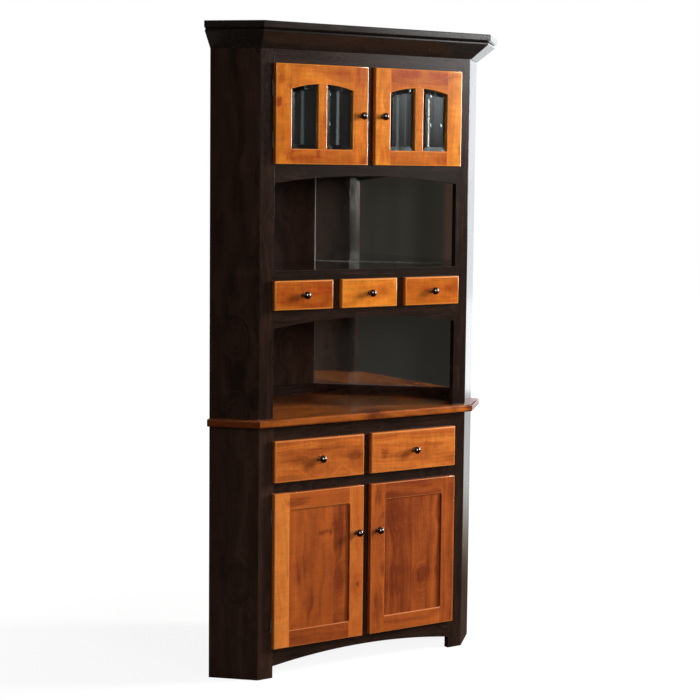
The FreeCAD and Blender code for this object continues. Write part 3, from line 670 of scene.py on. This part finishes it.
for node in ("base_back_panels", "hutch_back_panels"):
    finish_node(node, upright_stain)
for node in ("base_floor", "base_shelf", "base_drawer_floor", "hutch_drawer_floor", "hutch_deck",
             "hutch_cabinet_floor", "hutch_top_board", "mirror_cleats"):
    finish_node(node, level_stain)


# Counter
# One thick maple board, stained honey brown under a clear finish. It overhangs the
# base on its three outer sides, where both edges are rounded, and is square at the walls.

def clouded(tree, out, depth, clouds):
    """Stain that took deeper in clouds: x, z, half width, half height and depth of each.

    A cloud fades with the distance from its middle, which noise, streaks and bands disturb.
    """
    drift_reach = 0.03
    place = own_place(tree)
    drift = add(tree, "ShaderNodeTexNoise", {"Vector": place, "Scale": 28.0, "Detail": 3.0})
    place = vector(tree, "MULTIPLY_ADD", drift.outputs["Color"], (drift_reach,) * 3, place)
    feather = summed(tree, out, -2.75, {"Streaks": 3.0, "Bands": 2.5})
    for x, z, wide, tall, deeper in clouds:
        middle = (x + drift_reach / 2, 0, z + drift_reach / 2)
        away = vector(tree, "SUBTRACT", place, middle)
        away = length(tree, vector(tree, "MULTIPLY", away, (1 / wide, 0, 1 / tall)))
        near = rising(tree, number(tree, "SUBTRACT", away, feather), 1.6, 0.3)
        depth = plus(tree, depth, near, deeper)
    return depth


def maple(name, shades, node_grain=None, gloss=0.12, curl=0.16, mottle=1.6, rings=0.5, coat=1.0,
          fine=1.2, clouds=()):
    """Stained maple: blotches, knots and streaks between three shades, curl, fine dark pores.

    A positive edge mark is rubbed to the lightest shade under a thicker coat, and a
    negative one deepens the stain: where it took deeper, and as painted shade where a side lies in
    shadow.
    """
    material, tree, shader = new_finish(name)
    marks = add(tree, "ShaderNodeGroup", {"Grain": grain_of(tree, node_grain)}, node_tree=figure)
    out = marks.outputs
    depth = summed(tree, out, -(rings + mottle + 0.8) / 2,
                   {"Bands": rings, "Blotch": mottle, "Streaks": 0.8, "Knots": 0.55})
    if node_grain is None:
        edge = own(tree, "edge")
        depth = number(tree, "ADD", depth, own(tree, "tone"))
        depth = plus(tree, depth, number(tree, "MINIMUM", edge, 0), -0.5)
    else:
        depth = number(tree, "ADD", depth, 0.5)
    if clouds:
        depth = clouded(tree, out, depth, clouds)
    shade = product(tree, summed(tree, out, 1 - curl, {"Curl": curl * 2}),
                    summed(tree, out, 1 - fine / 2, {"Streaks": fine}),
                    summed(tree, out, 1.0, {"Pores": -0.35}))
    colour = stained(tree, depth, shades, (0.05, 0.98), shade)
    if node_grain is None:
        paler_edge = product(tree, edge, summed(tree, out, 0.1, {"Blotch": 0.9}))
        colour = blend(tree, paler_edge, colour, shades[0])
        built_up = product(tree, number(tree, "MAXIMUM", edge, 0), coat)
        feed(shader, {"Coat Weight": built_up, "Coat Roughness": 0.27})
    feed(shader, {"Base Color": colour})
    sawn(tree, shader, out, gloss, uneven=0.12, specular=0.3, pores=0.5, relief=0.12,
         depth=0.0005)
    return material


counter_finish = maple(
    "counter_maple_finish", ((0.52, 0.150, 0.022), (0.31, 0.080, 0.011), (0.105, 0.022, 0.004)),
    gloss=0.20, curl=0.10, rings=0.7, coat=0.15,
    clouds=((0.415, 0.832, 0.030, 0.030, 0.45), (0.350, 0.832, 0.020, 0.030, 0.25),
            (0.02, 0.832, 0.04, 0.03, 0.25)))
overhang, counter_round = 0.0275, 0.006
counter_low, counter_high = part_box("counter_top")
right = [front_corner(-overhang, -overhang), wall_end(-overhang, 0), clip_corner(0)]
outline = np.concatenate([right, other_hand(right)])
rings = eased(counter_high.z, counter_low.z, counter_round, 5)
shape = carried(outline, rings, (1, 0, 0, 0, 1, 1))
right_side, left_side, front_side = 0, 4, 5
# The ends are end grain and take the stain deeper. The left end is darkened further as painted
# shade, since the light falls from the right.
for side, mark in ((right_side, -1), (left_side, -1.6), (front_side, -0.3)):
    shape = marked(shape, side, mark)
make_piece("counter_board", [wood(shape, "x", 0.56, 11)], counter_finish, ["counter_top"])


# Hutch: returns and face frame
# The upper case is made as the base is, with two open displays under arched rails,
# a row of three drawer openings between them and two door openings at the top.

make_returns("hutch_returns", ["hutch_left_side", "hutch_right_side"], 12, 0.52)
hutch_edge = make_stiles("hutch_frame_stiles", "hutch_stiles", width=0.052, log=14,
                         tones=(0.38, 0.28))
small_low, small_head, deck, cabinet_low, cabinet_head, hutch_top = (
    1.193, 1.275, 1.312, 1.653, 1.954, 2.063)
upper_spring, upper_rise, lower_spring, lower_rise = 1.5875, 0.0245, 1.129, 0.0265
mullion_near, mullion_far = 0.103, 0.1475
make_dark("hutch_frame_rails", ["hutch_rails"], [
    frame_member(-hutch_edge, hutch_edge, cabinet_head, hutch_top, below, "x", 0.42, 16),
    frame_member(-hutch_edge, hutch_edge, small_head, deck, level_sides, "x", 0.14, 17),
])
make_arched_rail("hutch_frame_display_rail", "hutch_display_rail", hutch_edge, upper_spring,
                 upper_rise, cabinet_low, 0.28, 18)
make_arched_rail("hutch_frame_drawer_rail", "hutch_drawer_rail", hutch_edge, lower_spring,
                 lower_rise, small_low, 0.34, 19)
make_dark("hutch_frame_mullions", ["hutch_mullions"], [
    frame_member(left, right, low, high, upright_sides, "z", tone, log)
    for left, right, low, high, tone, log in (
        (-half_mullion, half_mullion, cabinet_low, cabinet_head, 0.5, 20),
        (-mullion_far, -mullion_near, small_low, small_head, 0.4, 21),
        (mullion_near, mullion_far, small_low, small_head, 0.6, 22))
])


# Display mirrors
# Four plate mirrors stand against the back walls of the displays, two in each. Their
# front edges are ground and polished and show as thin pale lines. The upper plates' corner edges
# are painted far paler than the lower ones, as a painted highlight.

mirror_gap, back_panel, mirror_plate, mirror_bevel = 0.003, 0.006, 0.004, 0.003
low_edge, corner_edge = 0, 1
silvered, tree, shader = new_finish("silvered_glass")
smears = add(tree, "ShaderNodeTexNoise", {
    "Vector": own_place(tree), "Scale": 9.0, "Detail": 5.0, "Roughness": 0.6}).outputs["Fac"]
edge = own(tree, "edge")
silver = blend(tree, smears, (0.74, 0.78, 0.75), (0.80, 0.83, 0.80))
feed(shader, {
    "Base Color": blend(tree, edge, silver, (0.96, 0.98, 0.96)),
    "Roughness": plus(tree, 0.01, smears, 0.02),
    "Metallic": plus(tree, 0.965, edge, -0.965)})


def mirror_plate_shape(hand, low, high, end_mark, log):
    """A plate on one wall: its outline in the wall's plane carried out from the back panel."""
    along = np.array(wall_end(board, back_panel))
    end = np.array(clip_corner(back_panel))
    extent = np.linalg.norm(end - along)
    way = (end - along) / extent
    out = np.array([-way[1], way[0]])
    outline = rectangle(mirror_gap, extent - mirror_gap, low, high)
    rings = [(0, 0), (mirror_plate * 0.45, 0), (mirror_plate, mirror_bevel)]
    plate = marked(carried(outline, rings, (0.6, 1.2, 1, 1)), low_edge, 0.45)
    points, faces, marks = marked(plate, corner_edge, end_mark)
    plan = along + points[:, :1] * way + points[:, 2:] * out
    placed = np.stack([plan[:, 0] * hand, plan[:, 1], points[:, 1]], 1)
    return wood((placed, faces, marks), "z", 0.5, log)


shelf_board = 0.018
cleat_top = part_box("mirror_cleats")[1].z
# The last number marks the corner edge. It is near silver below and white above, a painted
# highlight.
heights = ((cleat_top, small_low - shelf_board, 0.06), (deck, cabinet_low - shelf_board, 1.0))
make_piece("display_mirror_plates",
           [mirror_plate_shape(hand, *height, 1) for height in heights for hand in (-1, 1)],
           silvered, ["display_mirrors"])


# Crown
# A sloping moulding with a beaded lip is mitred round the three outer sides, and a
# flat cap lies over it with a square front edge and a dark groove between them.

def rounded(profile, radii, steps=4):
    """A profile whose corners are arcs of their own radii; a zero radius keeps the corner."""
    profile = np.asarray(profile, float)
    before, after = side_normals(profile)
    cosine = (before * after).sum(1)[:, None]
    bend = np.sign(before[:, 0] * after[:, 1] - before[:, 1] * after[:, 0])[:, None]
    radii = np.asarray(radii, float)[:, None]
    centre = profile - bend * radii * (before + after) / (1 + cosine)
    angle = np.arccos(np.clip(cosine, -1, 1))[:, None]
    part = np.linspace(0, 1, steps + 1)[None, :, None]
    normals = (np.sin((1 - part) * angle) * before[:, None]
               + np.sin(part * angle) * after[:, None]) / np.sin(angle)
    points = centre[:, None] + (bend * radii)[:, None] * normals
    return points[(radii > 0) | (np.arange(steps + 1)[None] == 0)]


def run(profile, stations, directions):
    """A profile of reach and height between two stations, its reach along each direction."""
    profile = np.asarray(profile, float)
    plan = stations[:, None] + profile[None, :, :1] * directions[:, None]
    height = np.broadcast_to(profile[None, :, 1:], plan.shape[:2] + (1,))
    points = np.concatenate([plan, height], 2).reshape(-1, 3)
    faces = skin(len(stations), len(profile))
    return points, faces, np.zeros(len(faces), bool)


def three_runs(profile, log, tones):
    """Left, front and right lengths of a moulding, mitred where they meet."""
    flip = np.array([-1, 1])
    stations = np.array([wall_end(0, 0), front_corner(0, 0)])
    directions = np.array([right_normal, (math.tan(math.pi / 8), -1)])
    stations = np.concatenate([stations * flip, stations[::-1]])
    directions = np.concatenate([directions * flip, directions[::-1]])
    return [wood(run(profile, stations[k:k + 2], directions[k:k + 2]), "x", tones[k], log + k)
            for k in range(3)]


groove_top = 0.059
crown_low = hutch_top - groove_top
lip_low, lip_high, lip_out, groove_in = 0.0465, 0.0522, 0.062, 0.052
moulding = [(0, 0), (0.003, 0), (lip_out, lip_low), (lip_out, lip_high), (groove_in, lip_high),
            (0.067, groove_top), (0, groove_top)]
moulding = rounded(moulding, (0, 0.001, 0.0012, 0.0012, 0, 0, 0)) + (0, crown_low)
crown_shades = ((0.0095, 0.0068, 0.0056), (0.0170, 0.0120, 0.0100), (0.0300, 0.0205, 0.0165))
crown_stain = espresso("espresso_crown_stain", gloss=0.28, shades=crown_shades)
tree = crown_stain.node_tree
shader = tree.nodes["Principled BSDF"]
height = add(tree, "ShaderNodeSeparateXYZ", {"Vector": own_place(tree)}).outputs["Z"]
lip = hump(tree, height, crown_low + lip_low - 0.001, crown_low + lip_low,
           crown_low + lip_high, crown_low + lip_high + 0.0008)
polished = plus(tree, 1.0, lip, -0.72)
rough = shader.inputs["Roughness"].links[0].from_socket
feed(shader, {"Roughness": product(tree, rough, polished)})
cap_stain = espresso("espresso_cap_stain", gloss=0.09, shades=crown_shades)
make_piece("crown_sloping_mouldings", three_runs(moulding, 30, (0.5, 0.4, 0.5)),
           crown_stain, ["crown_mouldings"])
cap_back, cap_front, cap_top = -0.04, 0.07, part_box("crown_caps")[1].z
cap = rounded([(cap_back, hutch_top), (cap_front, hutch_top), (cap_front, cap_top),
               (cap_back, cap_top)], (0, 0.0015, 0.0025, 0))
make_piece("crown_flat_caps", three_runs(cap, 34, (0.5, 0.8, 0.5)),
           cap_stain, ["crown_caps"])


# Hutch doors
# Each door is a flat maple frame with an arched top rail and one upright bar, glazed
# with two bevelled panes. Rails are tenoned flush between stiles that run full height.

door_finish = maple(
    "honey_maple_finish", ((0.72, 0.262, 0.031), (0.465, 0.126, 0.012), (0.240, 0.037, 0.006)),
    curl=0.30, mottle=1.1, rings=0.3, fine=2.0,
    clouds=((-0.274, 1.955, 0.045, 0.007, 0.30), (-0.343, 1.914, 0.018, 0.008, 0.22),
            (-0.350, 1.840, 0.009, 0.008, 0.45), (-0.040, 1.930, 0.018, 0.040, 0.30),
            (-0.308, 1.683, 0.011, 0.020, 0.28), (-0.205, 1.680, 0.009, 0.012, 0.35),
            (-0.262, 1.669, 0.050, 0.012, 0.18), (-0.028, 1.657, 0.015, 0.016, 0.25),
            (-0.310, 1.893, 0.014, 0.009, 0.22), (0.200, 1.935, 0.110, 0.018, 0.20),
            (0.330, 1.945, 0.030, 0.012, 0.25), (0.055, 1.830, 0.010, 0.050, 0.20),
            (0.062, 1.690, 0.020, 0.020, 0.22), (0.355, 1.700, 0.012, 0.020, 0.22)))
door_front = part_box("upper_left_door_frame")[0].y
door_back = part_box("upper_left_door_frame")[1].y
door_ease = 0.003
door_rings = eased(door_front, door_back, door_ease, last=False)
door_stile, door_foot, door_top, door_rise, door_bar = 0.059, 0.0485, 0.078, 0.017, 0.033


def front_span(node):
    """The left, right, lowest and highest extent of a node of the frame."""
    low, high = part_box(node)
    return low.x, high.x, low.z, high.z


def stile(left, right, low, high, opening, opens_right, tone, log):
    """A full-height member, eased outside and beside the opening, flush where rails meet it."""
    near, far = opening
    if opens_right:
        outline = [(left, low), (right, low), (right, near), (right, near + door_ease),
                   (right, far - door_ease), (right, far), (right, high), (left, high)]
        weights = [(1, 1), (1, 0), (0, 0), (1, 1), (1, 1), (0, 0), (0, 1), (1, 1)]
    else:
        outline = [(left, low), (right, low), (right, high), (left, high), (left, far),
                   (left, far - door_ease), (left, near + door_ease), (left, near)]
        weights = [(0, 1), (1, 1), (1, 1), (1, 0), (0, 0), (1, 1), (1, 1), (0, 0)]
    return member(outline, door_rings, weights, "z", tone, log)


def glazing(left, right, low, high):
    """The opening inside a hutch door: its sides, foot, arch springing and the bar's sides."""
    inner, outer = left + door_stile, right - door_stile
    middle = (inner + outer) / 2
    bar = (middle - door_bar / 2, middle + door_bar / 2)
    return inner, outer, low + door_foot, high - door_top, bar


def under_arch(start, end, inner, outer, near, spring, steps):
    """An upright outline from the foot of the opening to its arch."""
    x = np.linspace(end, start, steps + 1)
    upper = np.stack([x, arch(inner, outer, spring, door_rise, x)], 1)
    return np.concatenate([[(start, near), (end, near)], upper])


def glazed_frame(left, right, low, high, log, tones):
    """Stiles, bottom rail, arched top rail and bar of one hutch door."""
    inner, outer, near, spring, bar = glazing(left, right, low, high)
    opening = (near, spring)
    bar_weights = np.concatenate([[0, 1], np.zeros(8), [1]])
    return [
        stile(left, inner, low, high, opening, True, tones[0], log),
        stile(outer, right, low, high, opening, False, tones[1], log + 1),
        member(rectangle(inner, outer, low, near), door_rings, level_sides, "x", tones[2], log + 2),
        arched_rail(inner, outer, spring, door_rise, high, 40, door_rings, tones[3], log + 3),
        member(under_arch(*bar, inner, outer, near, spring, 8), door_rings, bar_weights, "z",
               tones[4], log + 4),
    ]


def bevelled_panes(left, right, low, high):
    """Two panes that fill the openings, their front edges ground to a wide bevel."""
    setback, plate, bevel = 0.005, 0.004, 0.014
    front = door_front + setback
    rings = [(front, bevel), (front + plate * 0.3, 0), (front + plate, 0)]
    inner, outer, near, spring, bar = glazing(left, right, low, high)
    return [member(under_arch(start, end, inner, outer, near, spring, 20), rings, 1.0, "z", 0.5, 1)
            for start, end in ((inner, bar[0]), (bar[1], outer))]


glass, tree, shader = new_finish("bevelled_glass")
wipes = add(tree, "ShaderNodeTexNoise", {"Vector": own_place(tree), "Scale": 30.0, "Detail": 4.0})
feed(shader, {
    "Base Color": (0.86, 0.94, 0.92), "Transmission Weight": 1.0, "IOR": 1.5,
    "Roughness": product(tree, wipes.outputs["Fac"], 0.012)})

for side, log, tones in (("left", 40, (0.48, 0.56, 0.76, 0.52, 0.48)),
                         ("right", 50, (0.36, 0.36, 0.68, 0.70, 0.52))):
    node = f"upper_{side}_door"
    span = front_span(f"{node}_frame")
    make_piece(f"{node}_maple_frame", glazed_frame(*span, log, tones), door_finish,
               [f"{node}_frame"], node)
    make_piece(f"{node}_panes", bevelled_panes(*span), glass, [f"{node}_glass"], node, 1.5)


# Base doors
# Flat frames round one recessed flat panel, in darker, redder boards than the hutch
# doors. The panel is grooved into the frame, and the right stile's edge beside it is painted darker
# as shade.

base_finish = maple(
    "base_maple_finish", ((0.60, 0.186, 0.034), (0.40, 0.093, 0.016), (0.150, 0.028, 0.008)),
    curl=0.18, mottle=0.5, rings=0.45, fine=1.55,
    clouds=((-0.108, 0.460, 0.022, 0.075, 0.26), (-0.163, 0.457, 0.022, 0.007, 0.25),
            (-0.243, 0.360, 0.018, 0.050, 0.12), (-0.226, 0.225, 0.012, 0.040, 0.14),
            (-0.277, 0.570, 0.035, 0.012, 0.30), (0.096, 0.482, 0.026, 0.062, 0.30),
            (0.125, 0.298, 0.030, 0.018, 0.28), (0.240, 0.281, 0.035, 0.018, 0.30),
            (0.110, 0.245, 0.030, 0.028, 0.20), (0.040, 0.560, 0.018, 0.030, 0.28),
            (0.045, 0.190, 0.018, 0.060, 0.20)))


def panelled_frame(left, right, low, high, log, tones):
    """Two stiles and two rails, with the opening's edges eased."""
    width, rail = 0.057, 0.056
    inner, outer = left + width, right - width
    near, far = low + rail, high - rail
    right_stile = stile(outer, right, low, high, (near, far), False, tones[1], log + 1)
    beside_panel = 5
    return [
        stile(left, inner, low, high, (near, far), True, tones[0], log),
        # The right stile's edge beside the panel gets a negative mark: painted shade for the shadow
        # it lies in.
        marked(right_stile[:3], beside_panel, -1) + right_stile[3:],
        member(rectangle(inner, outer, low, near), door_rings, level_sides, "x", tones[2], log + 2),
        member(rectangle(inner, outer, far, high), door_rings, level_sides, "x", tones[3], log + 3),
    ]


def glued_panel(node, log, tones):
    """A flat panel of edge-glued boards, each with its own tone."""
    low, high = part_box(node)
    edges = np.linspace(low.x, high.x, len(tones) + 1)
    rings = [(low.y, 0), (high.y, 0)]
    return [member(rectangle(a, b, low.z, high.z), rings, 0.0, "z", tone, log + place)
            for place, (a, b, tone) in enumerate(zip(edges[:-1], edges[1:], tones))]


for side, log, tones, panel_tones in (
        ("left", 60, (0.12, 0.40, 0.80, 0.60), (0.64, 0.70, 0.66, 0.76)),
        ("right", 70, (0.62, 0.72, 0.64, 0.84), (0.88, 0.90, 0.80, 0.76))):
    node = f"base_{side}_door"
    frame_shapes = panelled_frame(*front_span(f"{node}_frame"), log, tones)
    make_piece(f"{node}_maple_frame", frame_shapes, base_finish, [f"{node}_frame"],
               node)
    make_piece(f"{node}_maple_panel", glued_panel(f"{node}_panel", log + 5, panel_tones),
               base_finish, [f"{node}_panel"], node)


# Drawers
# Solid maple fronts with rounded face edges, screwed to plain boxes that run on
# wooden guides. The two base fronts are redder than the three small ones.

box_wood = maple(
    "drawer_box_maple", ((0.72, 0.50, 0.27), (0.62, 0.40, 0.19), (0.42, 0.24, 0.10)),
    node_grain="y", gloss=0.45, curl=0.06)
drawer_finish = maple(
    "drawer_maple_finish", ((0.64, 0.208, 0.035), (0.40, 0.099, 0.017), (0.165, 0.033, 0.008)),
    curl=0.28, mottle=0.9, rings=0.7, fine=1.9,
    clouds=((-0.251, 0.715, 0.060, 0.022, 0.20), (-0.047, 0.707, 0.030, 0.014, 0.25),
            (-0.150, 0.735, 0.060, 0.010, 0.20), (0.065, 0.698, 0.014, 0.014, 0.35),
            (0.261, 0.717, 0.050, 0.012, 0.25), (0.338, 0.660, 0.025, 0.012, 0.20),
            (0.110, 0.690, 0.040, 0.008, 0.20)))
drawer_round = 0.005
drawers = {"base_drawer_left": (drawer_finish, 0.50), "base_drawer_right": (drawer_finish, 0.44),
           "small_drawer_left": (door_finish, 0.82), "small_drawer_middle": (door_finish, 0.38),
           "small_drawer_right": (door_finish, 0.68)}

for log, (node, (finish, tone)) in enumerate(drawers.items(), 80):
    low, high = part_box(f"{node}_front")
    rings = eased(low.y, high.y, drawer_round, 5, last=False)
    outline = rectangle(*front_span(f"{node}_front"))
    make_piece(f"{node}_maple_front", [member(outline, rings, 1.0, "x", tone, log)],
               finish, [f"{node}_front"], node)
    finish_node(f"{node}_box", box_wood)
finish_node("drawer_guides", box_wood)


# Knobs
# Nine turned metal knobs in a dark bronze finish: a small foot, a tapered neck and a
# ball, each held by a screw through the front.

bronze, tree, shader = new_finish("dark_bronze")
mottle = add(tree, "ShaderNodeTexNoise", {
    "Vector": own_place(tree), "Scale": 260.0, "Detail": 4.0, "Roughness": 0.6}).outputs["Fac"]
polish = own(tree, "tone")
rough = plus(tree, 0.57, mottle, 0.14)
dents = add(tree, "ShaderNodeBump", {"Height": mottle, "Strength": 0.05, "Distance": 0.0003})
feed(shader, {
    "Base Color": blend(tree, mottle, (0.030, 0.022, 0.018), (0.10, 0.066, 0.046)),
    "Roughness": plus(tree, rough, polish, -0.9),
    "Metallic": 1.0, "Coat Weight": product(tree, polish, 1.2), "Coat Roughness": 0.14,
    "Normal": dents.outputs[0]})


def turned_knob(x, z, around=40):
    """A profile of radius and reach turned about the knob's axis: foot, cove, neck and ball."""
    ball, centre, neck, foot_end = 0.0125, 0.0166, 0.005, 0.0045
    axis = 0.0001
    sweep = np.linspace(math.pi - math.asin(neck / ball), 0.0, 22)
    ball_profile = np.stack([ball * np.sin(sweep), centre + ball * np.cos(sweep)], 1)[:-1]
    foot = [(axis, 0.0), (0.0077, 0.0), (0.0080, 0.0003), (0.0080, 0.0009), (0.0076, 0.0013),
            (0.0065, 0.0019), (0.0057, 0.0029), (0.0052, 0.0040)]
    profile = np.concatenate([foot, ball_profile, [(axis, centre + ball)]])
    turn = np.linspace(0, 2 * math.pi, around, endpoint=False)
    radius, reach = profile[:, :1], profile[:, 1:]
    points = np.stack([x + radius * np.cos(turn), door_front - reach + 0 * turn,
                       z + radius * np.sin(turn)], 2).reshape(-1, 3)
    faces = skin(len(profile), around)
    shape = wood((points, faces, np.zeros(len(faces), bool)), "y")
    return shape[:4] + (np.repeat(np.where(profile[:, 1] < foot_end, 0.0, 0.5), around),)


doors = ("upper_left_door", "upper_right_door", "base_left_door", "base_right_door")
for node in (*doors, *drawers):
    left, right, low, high = front_span(f"{node}_knob")
    make_piece(f"{node}_bronze_knob", [turned_knob((left + right) / 2, (low + high) / 2)],
               bronze, [f"{node}_knob"], node)


# Hinges
# Wrapped butt hinges in a duller bronze: the fixed leaf folds round the stile's
# edge and the other is let into the back of the door.

dull_bronze = bronze.copy()
dull_bronze.name = "dull_bronze"
feed(dull_bronze.node_tree.nodes["Principled BSDF"], {"Metallic": 0.1, "Specular IOR Level": 0.15})
finish_node("hinge_frame_leaves", dull_bronze)
for node in doors:
    finish_node(f"{node}_hinges", dull_bronze)
